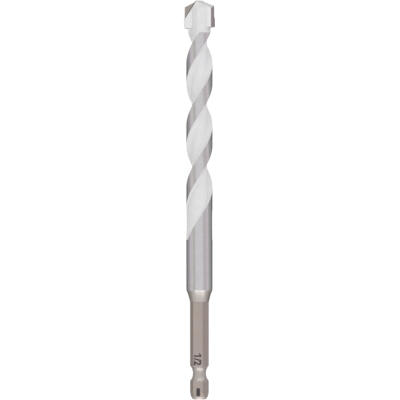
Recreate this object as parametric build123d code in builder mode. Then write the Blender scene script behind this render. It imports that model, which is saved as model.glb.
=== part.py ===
from build123d import *
from math import asin, cos, degrees, radians, sin, tan
import os

# A carbide-tipped drill bit lying on its side: the axis runs along +Y, the tip is at +Y,
# and the lands rest on Z = 0. Lengths are in millimetres and angles in degrees.
# Turns are measured about the axis from +Z towards +X, which is the cutting direction.
# Stations are distances along the axis from the free end of the shank.

# Quick-change hex shank
hex_across_flats = 6.35
hex_corner_diameter = 7.22
hex_turn = -10.9
shank_length = 37.2
groove_station = 9.83
groove_floor_diameter = 4.9
groove_half_length = 3.4
groove_half_height = 2.5
end_face_diameter = 5.35
end_chamfer_length = 0.95
end_chamfer_diameter = 6.46
end_taper_length = 1.6

# Cone between the shank and the neck
cone_length = 4.45
cone_foot_angle = 10.0

# Neck and fluted body
body_diameter = 10.0
neck_length = 19.15
run_out_length = 21.8
run_out_exit_angle = 0.7
run_out_heel_angle = 110.0
helix_length = 55.8
flute_lead = 47.3
core_diameter = 5.8
land_angle = 60.0
flute_fillet = 1.3
straight_land_length = 1.4

# Head that holds the tip
head_step_length = 1.3
head_relief = 0.4
head_core_diameter = 5.6
head_length = 8.4
jaw_chamfer = 0.3

# Brazed carbide tip
cutting_diameter = 12.7
tip_thickness = 2.8
tip_seat_depth = 7.6
tip_projection = 2.9
tip_turn = 57.0
land_lag = 40.0
point_angle = 134.0
lip_clearance = 26.0
braze_thickness = 0.1

# Rake gashes ground into the leading faces of the tip
gash_depth = 0.7
gash_centre_depth = 0.3
gash_drop = 4.3
gash_angle = 53.5
gash_wall_angle = 45.0

# Overlap of cutting tools past the surfaces they cut
overcut = 1.0

# Stations and sizes that follow from the dimensions above
cone_foot_station = shank_length
neck_station = cone_foot_station + cone_length
run_out_end_station = neck_station + neck_length
full_depth_station = run_out_end_station + run_out_length
helix_end_station = full_depth_station + helix_length
land_end_station = helix_end_station + straight_land_length
head_station = land_end_station + head_step_length
jaw_top_station = head_station + head_length
overall_length = jaw_top_station + tip_projection
tip_seat_station = jaw_top_station - tip_seat_depth
head_diameter = body_diameter - 2 * head_relief
axis_height = body_diameter / 2
land_turn = tip_turn - land_lag
bit_axis = Axis((0, 0, axis_height), (0, 1, 0))

cutter_radius = body_diameter / 2 + overcut
cutter_start_station = run_out_end_station - overcut

# Angles of the flutes' walls, from the middle of the land behind them
flute_first_angle = land_angle / 2
flute_last_angle = 180 - land_angle / 2
head_flute_angle = land_lag + degrees(asin(tip_thickness / body_diameter))
flute_end_angle = (head_flute_angle + flute_last_angle) / 2

# Station where the heel of the run-out leaves the helix and runs on along the axis
heel_station = run_out_end_station + (run_out_heel_angle - flute_first_angle) / 360 * flute_lead

os.makedirs("parts", exist_ok=True)


def station(distance, turn=0.0):
    """Plane square to the axis: local x points at the given turn, local z towards the tip."""
    origin = (0, distance - overall_length / 2, axis_height)
    turned_up = (sin(radians(turn)), 0, cos(radians(turn)))
    return Plane(origin=origin, x_dir=turned_up, z_dir=bit_axis.direction)


def axial_plane():
    """Plane through the axis: local x is the station, local y the radius."""
    return Plane(origin=(0, -overall_length / 2, axis_height), x_dir=(0, 1, 0), z_dir=(1, 0, 0))


def helix_turn(distance):
    """Turn of the land's middle at a station below the end of the helix."""
    return land_turn - 360 * (helix_end_station - distance) / flute_lead


def hex_outline():
    """Turned outline of the shank: end chamfer, slight taper and the corner circle."""
    with BuildSketch() as outline:
        with BuildLine():
            Polyline(
                (0, 0),
                (0, end_face_diameter / 2),
                (end_chamfer_length, end_chamfer_diameter / 2),
                (end_chamfer_length + end_taper_length, hex_corner_diameter / 2),
                (neck_station, hex_corner_diameter / 2),
                (neck_station, 0),
                close=True,
            )
        make_face()
    return outline.sketch


def body_outline():
    """Turned outline from the foot of the cone, over neck and lands, to the top of the head."""
    foot = (cone_foot_station, hex_corner_diameter / 2)
    neck = (neck_station, body_diameter / 2)
    rise = (cos(radians(cone_foot_angle)), sin(radians(cone_foot_angle)))
    with BuildSketch() as outline:
        with BuildLine():
            Line((cone_foot_station, 0), foot)
            TangentArc(foot, neck, tangent=rise)
            Polyline(
                neck,
                (land_end_station, body_diameter / 2),
                (head_station, head_diameter / 2),
                (jaw_top_station - jaw_chamfer, head_diameter / 2),
                (jaw_top_station, head_diameter / 2 - jaw_chamfer),
                (jaw_top_station, 0),
                (cone_foot_station, 0),
            )
        make_face()
    return outline.sketch


def flute_pocket(first_angle, last_angle, floor_diameter, filleted_ends):
    """Cross-section of a flute: a round floor between radial walls, with fillets at their feet."""
    with BuildSketch() as pocket:
        with BuildLine():
            floor = CenterArc((0, 0), floor_diameter / 2, first_angle, last_angle - first_angle)
            mouth = CenterArc((0, 0), cutter_radius, first_angle, last_angle - first_angle)
            Line(floor @ 0, mouth @ 0)
            Line(floor @ 1, mouth @ 1)
        make_face()
        for end in filleted_ends:
            fillet(pocket.vertices().sort_by_distance(floor @ end)[0], flute_fillet)
    return pocket.sketch


def axis_line(first_station, last_station):
    """Stretch of the bit's axis."""
    with BuildLine() as spine:
        Line(station(first_station).origin, station(last_station).origin)
    return spine.line


def flute_helix(first_station, last_station):
    """Helix of the flutes' lead round the same stretch of the axis."""
    with BuildLine() as guide:
        Helix(
            flute_lead,
            last_station - first_station,
            body_diameter / 2,
            center=station(first_station).origin,
            direction=bit_axis.direction,
        )
    return guide.edge()


def growing_core():
    """Outline of the core that lifts the flutes out of the body between land and neck."""
    deep = (full_depth_station, core_diameter / 2)
    shallow = (run_out_end_station, body_diameter / 2)
    fall = (cos(radians(run_out_exit_angle)), -sin(radians(run_out_exit_angle)))
    low_end = cutter_start_station - overcut
    rim = (low_end, shallow[1] + (shallow[0] - low_end) * tan(radians(run_out_exit_angle)))
    with BuildSketch() as outline:
        with BuildLine():
            lift = TangentArc(shallow, deep, tangent=fall)
            dive = Line(lift @ 1, lift @ 1 + overcut * (lift % 1))
            Polyline(dive @ 1, ((dive @ 1).X, 0), (low_end, 0), rim, shallow)
        make_face()
    return outline.sketch


def gash_plane(side_turn):
    """Plane of one rake face through its outer corner: local x to the tip, local y outwards."""
    frame = station(overall_length, tip_turn + side_turn)
    outer = cutting_diameter / 2
    tilt = (gash_depth - gash_centre_depth) / outer
    corner = frame.origin + outer * frame.x_dir + (tip_thickness / 2 - gash_depth) * frame.y_dir
    return Plane(origin=corner, x_dir=frame.z_dir, z_dir=frame.y_dir - tilt * frame.x_dir)


def gash_outline():
    """Triangle of one gash at its floor: open past the tip and the outer edge."""
    foot = gash_depth * tan(radians(gash_wall_angle)) - gash_drop - tip_projection
    slope = 1 / tan(radians(gash_angle))
    with BuildSketch() as outline:
        with BuildLine():
            Polyline(
                (foot - overcut / slope, overcut),
                (overcut, (foot - overcut) * slope),
                (overcut, overcut),
                close=True,
            )
        make_face()
    return outline.sketch


# Main flute: a helical pocket, lifted out of the body by the growing core and narrowed from its heel
with BuildPart() as main_flute:
    with BuildSketch(station(cutter_start_station, helix_turn(cutter_start_station))):
        add(flute_pocket(flute_first_angle, flute_last_angle, core_diameter, (0, 1)))
    sweep(
        path=axis_line(cutter_start_station, helix_end_station),
        binormal=flute_helix(cutter_start_station, helix_end_station),
    )
    with BuildSketch(axial_plane()):
        add(growing_core())
    revolve(axis=bit_axis, mode=Mode.SUBTRACT)
    heel_turn = helix_turn(run_out_end_station) + run_out_heel_angle
    heel_size = cutter_radius + overcut
    with BuildSketch(station(cutter_start_station, heel_turn)):
        Rectangle(2 * heel_size, heel_size, align=(Align.CENTER, Align.MAX))
    extrude(amount=heel_station - cutter_start_station, mode=Mode.SUBTRACT)

# Flute end: only the land's leading edge follows the helix on to the seat of the tip
with BuildPart() as flute_end:
    with BuildSketch(station(helix_end_station, land_turn)):
        add(flute_pocket(flute_first_angle, flute_end_angle, core_diameter, (0,)))
    sweep(
        path=axis_line(helix_end_station, tip_seat_station),
        binormal=flute_helix(helix_end_station, tip_seat_station),
    )

# Head flute: straight and slightly deeper, from inside the tip's outline to the next land
with BuildPart() as head_flute:
    with BuildSketch(station(helix_end_station, land_turn)):
        add(flute_pocket(head_flute_angle, flute_last_angle, head_core_diameter, (1,)))
    extrude(amount=jaw_top_station + overcut - helix_end_station)

# Steel blank: the hex shank with its ball groove, the turned body and the flutes, before slotting
with BuildPart() as steel_blank:
    with BuildSketch(station(0, hex_turn + 30)):
        RegularPolygon(hex_across_flats / 2, 6, major_radius=False)
    extrude(amount=shank_length)
    with BuildSketch(axial_plane()):
        add(hex_outline())
    revolve(axis=bit_axis, mode=Mode.INTERSECT)
    with BuildSketch(axial_plane()):
        with Locations((groove_station, groove_floor_diameter / 2 + groove_half_height)):
            Ellipse(groove_half_length, groove_half_height)
    revolve(axis=bit_axis, mode=Mode.SUBTRACT)
    with BuildSketch(axial_plane()):
        add(body_outline())
    revolve(axis=bit_axis)
    for flute in (main_flute, flute_end, head_flute):
        for side_turn in (0, 180):
            add(flute.part.rotate(bit_axis, side_turn), mode=Mode.SUBTRACT)

# Seat slot: as wide as the tip and a layer of braze on each side, open at the top
slot_width = tip_thickness + 2 * braze_thickness
with BuildPart() as seat_slot:
    with BuildSketch(station(tip_seat_station - braze_thickness, tip_turn)):
        Rectangle(cutting_diameter + 2 * overcut, slot_width)
    extrude(amount=tip_seat_depth + braze_thickness + overcut)

# Steel body: the blank with the seat slot cut through its head
with BuildPart() as steel_body:
    add(steel_blank.part)
    add(seat_slot.part, mode=Mode.SUBTRACT)

# Carbide tip: a plate ground round on its outer edges, with a sharpened point and rake gashes
tip_height = overall_length - tip_seat_station
lip_fall = 1 / tan(radians(point_angle / 2))
flank_fall = tan(radians(lip_clearance))
tip_axes = station(overall_length, tip_turn)
with BuildPart() as carbide_tip:
    with BuildSketch(station(tip_seat_station, tip_turn)):
        Rectangle(cutting_diameter + overcut, tip_thickness)
    extrude(amount=tip_height)
    with BuildSketch(station(tip_seat_station)):
        Circle(cutting_diameter / 2)
    extrude(amount=tip_height, mode=Mode.INTERSECT)
    for way in (1, -1):
        flank_normal = tip_axes.z_dir + way * (lip_fall * tip_axes.x_dir - flank_fall * tip_axes.y_dir)
        split(bisect_by=Plane(origin=tip_axes.origin, z_dir=flank_normal), keep=Keep.BOTTOM)
    for side_turn in (0, 180):
        with BuildSketch(gash_plane(side_turn)):
            add(gash_outline())
        extrude(amount=tip_thickness, taper=-gash_wall_angle, mode=Mode.SUBTRACT)

# Braze: the layer between the slot and the tip, flush with the steel around it
with BuildPart() as braze_joint:
    add(steel_blank.part)
    add(seat_slot.part, mode=Mode.INTERSECT)
    with BuildSketch(station(tip_seat_station, tip_turn)):
        Rectangle(cutting_diameter + 2 * overcut, tip_thickness)
    extrude(amount=tip_height, mode=Mode.SUBTRACT)

pieces = {"steel_body": steel_body, "carbide_tip": carbide_tip, "braze_joint": braze_joint}
for name, piece in pieces.items():
    piece.part.label = name
    export_step(piece.part, "parts/" + name + ".step")
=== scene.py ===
import math

import bmesh
import bpy
from mathutils import Matrix, Vector


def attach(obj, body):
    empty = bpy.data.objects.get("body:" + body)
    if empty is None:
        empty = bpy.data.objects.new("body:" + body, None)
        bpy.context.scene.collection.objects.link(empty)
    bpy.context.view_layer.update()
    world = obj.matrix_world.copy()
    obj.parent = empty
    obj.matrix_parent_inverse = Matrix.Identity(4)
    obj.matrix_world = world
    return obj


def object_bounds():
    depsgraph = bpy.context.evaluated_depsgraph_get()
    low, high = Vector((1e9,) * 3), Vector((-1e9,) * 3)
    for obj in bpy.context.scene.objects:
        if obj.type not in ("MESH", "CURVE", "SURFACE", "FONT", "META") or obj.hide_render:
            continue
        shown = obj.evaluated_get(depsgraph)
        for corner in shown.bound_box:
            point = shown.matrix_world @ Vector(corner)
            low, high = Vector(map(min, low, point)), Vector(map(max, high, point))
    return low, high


# The drill bit lies along Y with its point at +Y and its body on the floor. Lengths are in
# metres. Turns are measured about its axis from +Z towards +X, and stations along the axis
# from the shank's free end.

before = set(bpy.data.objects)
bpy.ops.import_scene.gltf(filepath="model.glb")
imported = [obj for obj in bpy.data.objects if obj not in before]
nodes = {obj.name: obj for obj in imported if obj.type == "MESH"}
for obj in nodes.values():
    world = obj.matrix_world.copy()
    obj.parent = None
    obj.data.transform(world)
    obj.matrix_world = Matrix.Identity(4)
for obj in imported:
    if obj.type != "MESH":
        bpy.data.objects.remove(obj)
cad_low, cad_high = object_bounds()

MM = 0.001
HALF_LENGTH = cad_high[1]
AXIS_HEIGHT = cad_high[2] / 2
BODY_RADIUS = AXIS_HEIGHT

# Lands and flutes
FLUTE_LEAD = 47.3 * MM
TURN_PER_METRE = 2 * math.pi / FLUTE_LEAD
LAND_TURN = math.radians(17.0)
LAND_HALF = math.radians(30.0)
HELIX_END = 138.4 * MM
LAND_END = 139.8 * MM
RUN_OUT_END = 60.8 * MM
HEEL_ANGLE = math.radians(110.0)
HEEL_TURN = LAND_TURN - TURN_PER_METRE * (HELIX_END - RUN_OUT_END) + HEEL_ANGLE
HEEL_STATION = RUN_OUT_END + (HEEL_ANGLE - LAND_HALF) / TURN_PER_METRE

# Carbide tip
TIP_TURN = math.radians(57.0)
TIP_HALF = 1.4 * MM
CUTTING_RADIUS = 6.35 * MM

# Cone, hex shank with its groove, and end chamfer
CONE_TOP = 41.65 * MM
CONE_FOOT = 37.2 * MM
HEX_TURN = math.radians(-10.9)
HEX_HALF = 3.175 * MM
GROOVE_STATION = 9.83 * MM
GROOVE_HALF = 3.0 * MM
END_CHAMFER = 0.95 * MM

# Marks etched on the hex flat that faces up
MARK_DEPTH = 0.01 * MM
NUMBER_STATION = 15.3 * MM
NUMBER_OFFSET = -0.27 * MM
NUMBER_HEIGHT = 2.8 * MM
NUMBER_STRETCH = 0.88
NUMBER_WEIGHT = 0.13 * MM
CAPITAL_SHARE = 0.72
FLAG_LENGTH = 0.85 * MM
FLAG_DROP = 0.55 * MM
FLAG_WIDTH = 0.5 * MM
FLAG_ROOT = 0.65 * MM
WELD = 0.001 * MM
BAR_STATION = 2.9 * MM
BAR_OFFSET = 0.15 * MM
BAR_LENGTH = 3.0 * MM
BAR_WIDTH = 1.4 * MM
BAR_CORNER = 0.15 * MM
CORNER_STEPS = 4

# Floor and sky: size, brightness, and the turns about the bit where the sky has faint colours
FLOOR_HALF = 6.0
FLOOR_DROP = 0.01 * MM
FLOOR_GLOW = 0.72
FLOOR_MIRRORED = 0.08
SKY_LEVEL = 0.87
SKY_RIGHT = 1.2
LEFT_SEAM = math.radians(-47.0)
RIGHT_SEAM = math.radians(52.0)
HORIZON = math.radians(63.0)

# Camera: the photograph's width in pixels, its scale in pixels per metre, and how far its
# middle is from the bit's
PHOTO_WIDTH = 400
PHOTO_SCALE = 2615.0
PHOTO_MIDDLE_X = 0.22 * MM
PHOTO_MIDDLE_Y = -0.14 * MM
CAMERA_DISTANCE = 0.70
SENSOR_WIDTH = 36.0


def grey(value):
    return (value, value, value, 1)


# Colours of the finishes. Where there are two, a noise mixes the darker with the lighter one
BLASTED = ((0.748, 0.744, 0.754, 1), (0.786, 0.782, 0.792, 1))
BLASTED_SPECK = (0.722, 0.718, 0.728, 1)
POLISHED = ((0.58, 0.567, 0.58, 1), (0.63, 0.62, 0.64, 1))
POLISHED_CLOUD = (0.57, 0.555, 0.565, 1)
TURNED_CONE = ((0.47, 0.43, 0.405, 1), (0.525, 0.483, 0.457, 1))
TURNED_GROOVE = ((0.467, 0.422, 0.395, 1), (0.537, 0.49, 0.462, 1))
# The end chamfer is turned steel like the groove, painted lighter than it as a painted highlight
TURNED_END_PAINTED_HIGHLIGHT = ((0.59, 0.532, 0.50, 1), (0.66, 0.60, 0.565, 1))
DRAWN = ((0.405, 0.345, 0.315, 1), (0.50, 0.435, 0.405, 1))
DRAWN_CLOUD = (0.45, 0.38, 0.345, 1)
CARBIDE_FACE = (grey(0.84), grey(0.88))
CARBIDE_FLANK = ((0.6666, 0.66, 0.6534, 1), grey(0.74))
CARBIDE_GASH = ((0.387, 0.352, 0.33, 1), (0.467, 0.432, 0.41, 1))
CARBIDE_EDGE = ((0.42, 0.35, 0.36, 1), (0.50, 0.43, 0.44, 1))
BRAZE = ((0.76, 0.73, 0.66, 1), (0.84, 0.82, 0.77, 1))
ETCHING = ((0.03, 0.022, 0.03, 1), (0.08, 0.06, 0.07, 1))
FLOOR = grey(0.48)
FLOOR_BOUNCE = grey(0.85)
SKY_LOW = (0.95, 0.90, 0.94, 1)
SKY_OLIVE = (0.80, 0.79, 0.70, 1)
SKY_PINK = (0.86, 0.80, 0.80, 1)

# Roughness. Where there are two, it varies with a noise from the lower to the higher one
BLASTED_ROUGH = 0.7
POLISHED_ROUGH = (0.11, 0.17)
CONE_ROUGH = 0.35
TURNED_ROUGH = 0.38
DRAWN_ROUGH = (0.42, 0.52)
CARBIDE_FACE_ROUGH = 0.6
CARBIDE_FLANK_ROUGH = 0.5
CARBIDE_GROUND_ROUGH = 0.32

# Noise scales: at a scale of 1000 a pattern's features are about a millimetre wide
CLOUD_SCALE = 260.0
WANDER_SCALE = 900.0
SPECK_SCALE = 2600.0
PIT_SCALE = 7000.0
RING_SCALE = 9000.0
LINE_SCALE = 3600.0
CARBIDE_CLOUD_SCALE = 500.0
CARBIDE_PIT_SCALE = 9000.0
WHEEL_MARK_SCALE = 6000.0
BRAZE_SCALE = 1500.0
ETCHING_SCALE = 3000.0

# Length along the stretched noises for a radian of turn, or for a metre of radius or station
RING_PER_TURN = 0.4 * MM
RING_PER_RADIUS = 0.3
LINE_PER_TURN = 3.2 * MM
LINE_PER_STATION = 0.015
WHEEL_MARK_PER_RADIUS = 0.15

# Heights of the relief
STEEL_RELIEF = 0.012 * MM
CARBIDE_RELIEF = 0.008 * MM
BRAZE_RELIEF = 0.02 * MM
ETCHING_RELIEF = 0.004 * MM
RING_RELIEF_SHARE = 0.08
LINE_RELIEF_SHARE = 0.2
WHEEL_MARK_RELIEF_SHARE = 0.3


class Tree:
    """Short calls for building the nodes of a material or a world."""

    def __init__(self, owner, output):
        owner.use_nodes = True
        self.owner = owner
        self.nodes = owner.node_tree.nodes
        self.links = owner.node_tree.links
        self.nodes.clear()
        self.output = self.nodes.new(output)

    def put(self, socket, value):
        if isinstance(value, bpy.types.NodeSocket):
            self.links.new(value, socket)
        else:
            socket.default_value = value

    def node(self, kind, *values):
        """New node, its first inputs set to the values or linked to them."""
        made = self.nodes.new(kind)
        for socket, value in zip(made.inputs, values):
            self.put(socket, value)
        return made

    def math(self, operation, *values):
        made = self.node("ShaderNodeMath", *values)
        made.operation = operation
        return made.outputs[0]

    def plus(self, a, b):
        return self.math("ADD", a, b)

    def minus(self, a, b):
        return self.math("SUBTRACT", a, b)

    def times(self, first, *others):
        for other in others:
            first = self.math("MULTIPLY", first, other)
        return first

    def most(self, first, *others):
        """The highest of the values."""
        for other in others:
            first = self.math("MAXIMUM", first, other)
        return first

    def size(self, value):
        """The value without its sign."""
        return self.math("ABSOLUTE", value)

    def wrap(self, value, low, high):
        """The value, brought round into the range from low to high."""
        return self.math("WRAP", value, high, low)

    def ramp(self, value, low, high, start=0.0, end=1.0):
        """From start to end, smoothly, while the value goes from low to high."""
        made = self.node("ShaderNodeMapRange", value, low, high, start, end)
        made.interpolation_type = "SMOOTHSTEP"
        return made.outputs[0]

    def above(self, value, limit, blur):
        """One where the value is above the limit, zero below it."""
        return self.ramp(value, limit - blur, limit + blur)

    def below(self, value, limit, blur):
        """One where the value is below the limit, zero above it."""
        return self.ramp(value, limit + blur, limit - blur)

    def mix(self, factor, a, b):
        """Colour a, or b where the factor is one."""
        made = self.nodes.new("ShaderNodeMix")
        made.data_type = "RGBA"
        for index, value in zip((0, 6, 7), (factor, a, b)):
            self.put(made.inputs[index], value)
        return made.outputs[2]

    def blend(self, factor, a, b):
        """Number a, or b where the factor is one."""
        made = self.nodes.new("ShaderNodeMix")
        made.data_type = "FLOAT"
        for index, value in zip((0, 2, 3), (factor, a, b)):
            self.put(made.inputs[index], value)
        return made.outputs[0]

    def mottle(self, noise, colors):
        """The two colours, mixed by a noise."""
        return self.mix(self.ramp(noise, 0.3, 0.7), *colors)

    def vector(self, x, y, z):
        return self.node("ShaderNodeCombineXYZ", x, y, z).outputs[0]

    def split(self, vector):
        return self.node("ShaderNodeSeparateXYZ", vector).outputs

    def coordinates(self, kind):
        return self.nodes.new("ShaderNodeTexCoord").outputs[kind]

    def noise(self, vector, scale, detail, roughness=0.6):
        made = self.nodes.new("ShaderNodeTexNoise")
        self.put(made.inputs["Vector"], vector)
        self.put(made.inputs["Scale"], scale)
        self.put(made.inputs["Detail"], detail)
        self.put(made.inputs["Roughness"], roughness)
        return made.outputs[0]

    def place(self):
        """Position in the frame, with the station, the radius and the turn about the axis."""
        position = self.coordinates("Object")
        x, y, z = self.split(position)
        up = self.minus(z, AXIS_HEIGHT)
        station = self.plus(y, HALF_LENGTH)
        radius = self.math("SQRT", self.plus(self.times(x, x), self.times(up, up)))
        turn = self.math("ARCTAN2", x, up)
        return position, station, radius, turn

    def bump(self, height, distance):
        made = self.nodes.new("ShaderNodeBump")
        self.put(made.inputs["Height"], height)
        self.put(made.inputs["Distance"], distance)
        return made.outputs[0]

    def principled(self, color, metallic, roughness, bump):
        shader = self.nodes.new("ShaderNodeBsdfPrincipled")
        self.put(shader.inputs["Base Color"], color)
        self.put(shader.inputs["Metallic"], metallic)
        self.put(shader.inputs["Roughness"], roughness)
        self.put(shader.inputs["Normal"], bump)
        self.links.new(shader.outputs[0], self.output.inputs["Surface"])
        return shader


def material_tree(name):
    return Tree(bpy.data.materials.new(name), "ShaderNodeOutputMaterial")


def ground_zone(t, position, station, radius, turn):
    """Share of the surface that is ground: the lands, the strips beside the run-outs, the neck."""
    wander = t.minus(t.noise(position, WANDER_SCALE, detail=3.0, roughness=0.5), 0.5)
    ragged_station = t.plus(station, t.times(wander, 0.5 * MM))
    at_rim = t.above(radius, BODY_RADIUS - 0.095 * MM, blur=0.025 * MM)

    # The lands follow the helix at their full radius and end below the head
    lag = t.times(t.minus(station, HELIX_END), TURN_PER_METRE)
    from_land = t.wrap(t.minus(t.minus(turn, LAND_TURN), lag), -math.pi / 2, math.pi / 2)
    ragged_turn = t.plus(t.size(from_land), t.times(wander, 0.02))
    in_land = t.below(ragged_turn, LAND_HALF - 0.009, blur=0.005)
    below_head = t.below(ragged_station, LAND_END, blur=0.06 * MM)
    land = t.times(in_land, at_rim, below_head)

    # Below the heel of a run-out the body stays ground up to the line where the cut begins
    past_heel = t.wrap(t.minus(turn, HEEL_TURN), 0.0, math.pi)
    gained = t.times(t.minus(ragged_station, RUN_OUT_END), TURN_PER_METRE)
    cut_until = t.plus(gained, math.pi - LAND_HALF - HEEL_ANGLE)
    outside = t.above(t.minus(past_heel, cut_until), 0.0, blur=0.01)
    below_heel = t.below(station, HEEL_STATION, blur=0.05 * MM)
    uncut = t.times(outside, below_heel, at_rim)

    neck = t.below(ragged_station, RUN_OUT_END + 0.15 * MM, blur=0.25 * MM)
    return t.most(land, uncut, neck)


def steel_material():
    """Blasted flutes and head, polished lands and neck, turned cone, drawn hex shank."""
    t = material_tree("steel_finish")
    position, station, radius, turn = t.place()
    ground = ground_zone(t, position, station, radius, turn)
    cone = t.below(station, CONE_TOP - 0.15 * MM, blur=0.35 * MM)
    shank = t.below(station, CONE_FOOT + 0.025 * MM, blur=0.075 * MM)
    groove = t.below(t.size(t.minus(station, GROOVE_STATION)), GROOVE_HALF, blur=0.1 * MM)
    chamfer = t.below(station, END_CHAMFER, blur=0.05 * MM)
    turned = t.most(groove, chamfer)

    # Specks and pits from blasting, rings from grinding and turning, lines from drawing
    cloud = t.noise(position, CLOUD_SCALE, detail=4.0)
    specks = t.noise(position, SPECK_SCALE, detail=3.0)
    pits = t.noise(position, PIT_SCALE, detail=2.0)
    around = t.vector(t.times(turn, RING_PER_TURN), station, t.times(radius, RING_PER_RADIUS))
    rings = t.noise(around, RING_SCALE, detail=3.0)
    along = t.vector(t.times(turn, LINE_PER_TURN), t.times(station, LINE_PER_STATION), 0.0)
    lines = t.noise(along, LINE_SCALE, detail=4.0, roughness=0.7)

    blasted = t.mix(t.ramp(specks, 0.52, 0.75), t.mottle(cloud, BLASTED), BLASTED_SPECK)
    polished = t.mix(t.ramp(cloud, 0.45, 0.8), t.mottle(rings, POLISHED), POLISHED_CLOUD)
    drawn = t.mix(t.ramp(cloud, 0.4, 0.75), t.mottle(lines, DRAWN), DRAWN_CLOUD)
    hexed = t.mix(turned, drawn, t.mottle(rings, TURNED_GROOVE))
    # The end chamfer's turned steel is painted lighter than the groove's: a painted highlight
    hexed = t.mix(chamfer, hexed, t.mottle(rings, TURNED_END_PAINTED_HIGHLIGHT))
    color = t.mix(ground, blasted, t.mix(cone, polished, t.mottle(rings, TURNED_CONE)))
    color = t.mix(shank, color, hexed)

    rough = t.blend(ground, BLASTED_ROUGH, t.ramp(rings, 0.2, 0.8, *POLISHED_ROUGH))
    rough = t.blend(cone, rough, CONE_ROUGH)
    hexed_rough = t.blend(turned, t.ramp(lines, 0.2, 0.8, *DRAWN_ROUGH), TURNED_ROUGH)
    rough = t.blend(shank, rough, hexed_rough)
    metal = t.blend(ground, 0.2, 1.0)
    height = t.blend(ground, pits, t.times(rings, RING_RELIEF_SHARE))
    height = t.blend(shank, height, t.times(lines, LINE_RELIEF_SHARE))
    shader = t.principled(color, metal, rough, t.bump(height, STEEL_RELIEF))

    # The tint darkens what the polished steel mirrors at a grazing angle
    tint = t.mix(shank, t.mix(ground, grey(1.0), grey(0.1)), grey(0.8))
    t.put(shader.inputs["Specular Tint"], tint)
    return t.owner


def carbide_material():
    """Blasted faces, with ground flanks, rake gashes and outer edges."""
    t = material_tree("carbide_finish")
    position, station, radius, turn = t.place()

    # The gashes lie below the plate's two faces, and the flanks face the point
    across = t.times(radius, t.math("SINE", t.minus(turn, TIP_TURN)))
    gash = t.below(t.size(across), TIP_HALF - 0.055 * MM, blur=0.025 * MM)
    edge = t.above(radius, CUTTING_RADIUS - 0.07 * MM, blur=0.02 * MM)
    towards_point = t.split(t.coordinates("Normal"))[1]
    flank = t.above(towards_point, 0.74, blur=0.04)
    ground = t.most(gash, flank, edge)

    # Wheel marks run across the gashes and round the outer edges
    cloud = t.noise(position, CARBIDE_CLOUD_SCALE, detail=4.0)
    pits = t.noise(position, CARBIDE_PIT_SCALE, detail=2.0)
    along = t.vector(0.0, station, t.times(radius, WHEEL_MARK_PER_RADIUS))
    marks = t.noise(along, WHEEL_MARK_SCALE, detail=3.0)

    color = t.mix(gash, t.mottle(cloud, CARBIDE_FACE), t.mottle(marks, CARBIDE_GASH))
    color = t.mix(flank, color, t.mottle(cloud, CARBIDE_FLANK))
    color = t.mix(edge, color, t.mottle(marks, CARBIDE_EDGE))
    ground_rough = t.blend(flank, CARBIDE_GROUND_ROUGH, CARBIDE_FLANK_ROUGH)
    rough = t.blend(ground, CARBIDE_FACE_ROUGH, ground_rough)
    metal = t.blend(ground, 0.3, t.blend(flank, 1.0, 0.4))
    height = t.blend(ground, pits, t.times(marks, WHEEL_MARK_RELIEF_SHARE))
    t.principled(color, metal, rough, t.bump(height, CARBIDE_RELIEF))
    return t.owner


def mottled_material(name, colors, scale, detail, metallic, roughness, relief):
    """Two colours mixed by one noise, which is the relief as well."""
    t = material_tree(name)
    noise = t.noise(t.coordinates("Object"), scale, detail)
    t.principled(t.mottle(noise, colors), metallic, roughness, t.bump(noise, relief))
    return t.owner


def braze_material():
    """Bright seam of braze, a little uneven."""
    return mottled_material(
        "braze_finish",
        BRAZE,
        BRAZE_SCALE,
        detail=4.0,
        metallic=0.4,
        roughness=0.5,
        relief=BRAZE_RELIEF,
    )


def etched_material():
    """Dark, slightly uneven etching."""
    return mottled_material(
        "etched_finish",
        ETCHING,
        ETCHING_SCALE,
        detail=3.0,
        metallic=0.2,
        roughness=0.6,
        relief=ETCHING_RELIEF,
    )


def floor_material():
    """Matte floor that is white to the camera, keeps the bit's shadow and throws pale light back."""
    t = material_tree("floor_finish")
    rays = t.nodes.new("ShaderNodeLightPath").outputs
    diffuse = t.node("ShaderNodeBsdfDiffuse", t.mix(rays["Is Diffuse Ray"], FLOOR, FLOOR_BOUNCE))
    seen = t.most(rays["Is Camera Ray"], rays["Is Transmission Ray"])
    mirrored = t.times(rays["Is Glossy Ray"], FLOOR_MIRRORED)
    glow = t.node("ShaderNodeEmission", grey(1.0), t.times(t.most(seen, mirrored), FLOOR_GLOW))
    both = t.node("ShaderNodeAddShader", diffuse.outputs[0], glow.outputs[0])
    t.links.new(both.outputs[0], t.output.inputs["Surface"])
    return t.owner


def dress(name, material):
    mesh = nodes[name].data
    mesh.materials.clear()
    mesh.materials.append(material)


def add_prism(mesh, outline):
    """Add a thin closed prism, half of it sunk into the flat."""
    face = mesh.faces.new([mesh.verts.new((x, y, -MARK_DEPTH)) for x, y in outline])
    lifted = bmesh.ops.extrude_face_region(mesh, geom=[face])["geom"]
    moved = [v for v in lifted if isinstance(v, bmesh.types.BMVert)]
    bmesh.ops.translate(mesh, verts=moved, vec=(0, 0, 2 * MARK_DEPTH))
    bmesh.ops.recalc_face_normals(mesh, faces=mesh.faces)


def as_object(name, mesh):
    """Object that holds the mesh being built."""
    data = bpy.data.meshes.new(name)
    mesh.to_mesh(data)
    mesh.free()
    return bpy.data.objects.new(name, data)


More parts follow.
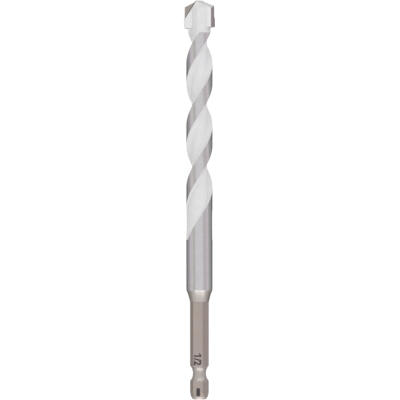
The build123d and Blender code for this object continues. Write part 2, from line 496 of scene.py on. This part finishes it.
def size_number():
    """The size of the hole, as a plain number. The font's 1 is a bare bar, so it gets a flag."""
    curve = bpy.data.curves.new("size_number", "FONT")
    curve.body = "1/2"
    curve.size = NUMBER_HEIGHT / CAPITAL_SHARE
    curve.align_x = "CENTER"
    curve.align_y = "CENTER"
    curve.extrude = MARK_DEPTH
    curve.offset = NUMBER_WEIGHT
    text = bpy.data.objects.new("size_number_text", curve)
    bpy.context.scene.collection.objects.link(text)
    bpy.context.view_layer.update()
    mesh = bmesh.new()
    mesh.from_mesh(bpy.data.meshes.new_from_object(text))
    bpy.data.objects.remove(text)
    bmesh.ops.remove_doubles(mesh, verts=mesh.verts, dist=WELD)

    left = min(v.co.x for v in mesh.verts)
    top = max(v.co.y for v in mesh.verts if v.co.x < left + FLAG_WIDTH)
    tip = left - FLAG_LENGTH
    tip_top = top - FLAG_DROP
    flag = [(left, top), (tip, tip_top), (tip, tip_top - FLAG_WIDTH), (left, top - FLAG_ROOT)]
    add_prism(mesh, flag)
    return as_object("size_number", mesh)


def etched_bar():
    """A plain bar with rounded corners."""
    middle_x = BAR_LENGTH / 2 - BAR_CORNER
    middle_y = BAR_WIDTH / 2 - BAR_CORNER
    ring = []
    for side_x, side_y, start in ((1, 1, 0), (-1, 1, 90), (-1, -1, 180), (1, -1, 270)):
        for step in range(CORNER_STEPS + 1):
            angle = math.radians(start + 90 * step / CORNER_STEPS)
            x = side_x * middle_x + BAR_CORNER * math.cos(angle)
            y = side_y * middle_y + BAR_CORNER * math.sin(angle)
            ring.append((x, y))
    mesh = bmesh.new()
    add_prism(mesh, ring)
    return as_object("etched_bar", mesh)


def place_on_flat(station, offset):
    """Place on the hex flat that faces up: x runs to the shank's end, y across, z outwards."""
    to_end = Vector((0, -1, 0))
    across = Vector((math.cos(HEX_TURN), 0, -math.sin(HEX_TURN)))
    outwards = Vector((math.sin(HEX_TURN), 0, math.cos(HEX_TURN)))
    on_axis = Vector((0, station - HALF_LENGTH, AXIS_HEIGHT))
    turned = Matrix((to_end, across, outwards)).transposed().to_4x4()
    return Matrix.Translation(on_axis + outwards * HEX_HALF + across * offset) @ turned


def etch(piece, station, offset, stretch=1.0):
    """Fix a mark on the flat, its middle at the station and the offset across it."""
    stretched = Matrix.Diagonal((stretch, 1, 1, 1))
    piece.data.transform(place_on_flat(station, offset) @ stretched)
    piece.data.materials.append(etched_material())
    bpy.context.scene.collection.objects.link(piece)
    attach(piece, "root")


def add_floor():
    corners = [(-FLOOR_HALF, -FLOOR_HALF, 0), (FLOOR_HALF, -FLOOR_HALF, 0)]
    corners += [(FLOOR_HALF, FLOOR_HALF, 0), (-FLOOR_HALF, FLOOR_HALF, 0)]
    mesh = bpy.data.meshes.new("floor")
    mesh.from_pydata(corners, [], [(0, 1, 2, 3)])
    mesh.materials.append(floor_material())
    floor = bpy.data.objects.new("floor", mesh)
    floor.location = (0, 0, -FLOOR_DROP)
    bpy.context.scene.collection.objects.link(floor)


def seam(t, side, middle, half, blur):
    """Share of the sky within a seam, whose half width and blur are in degrees."""
    return t.below(t.size(t.minus(side, middle)), math.radians(half), math.radians(blur))


def world_light():
    """Even soft light from all round, white where the camera looks past the floor."""
    world = bpy.data.worlds.new("studio")
    bpy.context.scene.world = world
    t = Tree(world, "ShaderNodeOutputWorld")
    x, y, z = t.split(t.coordinates("Generated"))
    side = t.math("ARCTAN2", x, z)

    # Faint colours beside the bit, which the polished steel mirrors
    low = t.above(t.size(side), HORIZON, blur=math.radians(5))
    colored = t.mix(low, grey(1.0), SKY_LOW)
    colored = t.mix(seam(t, side, LEFT_SEAM, half=10, blur=6), colored, SKY_OLIVE)
    colored = t.mix(seam(t, side, RIGHT_SEAM, half=15, blur=5), colored, SKY_PINK)

    # Elsewhere the sky is plain, and a little brighter to the right of the point
    right_of_point = t.times(t.above(side, 0.55, blur=0.45), t.above(y, 0.375, blur=0.125))
    plain = t.mix(right_of_point, grey(1.0), grey(SKY_RIGHT))
    beside = t.below(t.size(y), 0.275, blur=0.075)
    color = t.mix(beside, plain, colored)

    camera_ray = t.nodes.new("ShaderNodeLightPath").outputs["Is Camera Ray"]
    color = t.mix(camera_ray, color, grey(1.0))
    level = t.blend(camera_ray, SKY_LEVEL, 1.0)
    background = t.node("ShaderNodeBackground", color, level)
    t.links.new(background.outputs[0], t.output.inputs["Surface"])


def soft_lamp(name, place, width, depth, radiance):
    """Area lamp aimed at the middle of the bit, given by the radiance of its face."""
    data = bpy.data.lights.new(name, "AREA")
    data.shape = "RECTANGLE"
    data.size = width
    data.size_y = depth
    data.energy = radiance * math.pi * width * depth
    lamp = bpy.data.objects.new(name, data)
    lamp.location = place
    lamp.rotation_euler = (-Vector(place)).to_track_quat("-Z", "Y").to_euler()
    bpy.context.scene.collection.objects.link(lamp)


def photo_camera():
    """Camera straight above the bit, which frames it as the photograph does."""
    data = bpy.data.cameras.new("camera")
    data.sensor_width = SENSOR_WIDTH
    data.lens = SENSOR_WIDTH * CAMERA_DISTANCE * PHOTO_SCALE / PHOTO_WIDTH
    data.clip_start = 0.05
    data.clip_end = 20.0
    camera = bpy.data.objects.new("camera", data)
    camera.location = (PHOTO_MIDDLE_X, PHOTO_MIDDLE_Y, AXIS_HEIGHT + CAMERA_DISTANCE)
    bpy.context.scene.collection.objects.link(camera)
    bpy.context.scene.camera = camera


dress("steel_body", steel_material())
dress("carbide_tip", carbide_material())
dress("braze_joint", braze_material())
etch(size_number(), NUMBER_STATION, NUMBER_OFFSET, NUMBER_STRETCH)
etch(etched_bar(), BAR_STATION, BAR_OFFSET)
add_floor()

world_light()
soft_lamp("overhead_lamp", place=(0, 0, 1.2), width=1.3, depth=1.6, radiance=0.05)
soft_lamp("shank_lamp", place=(0.08, -1.1, 0.72), width=1.8, depth=0.5, radiance=1.35)
soft_lamp("tip_lamp", place=(0, 1.1, 0.68), width=1.0, depth=0.4, radiance=1.2)
photo_camera()
bpy.context.scene.view_settings.view_transform = "Standard"
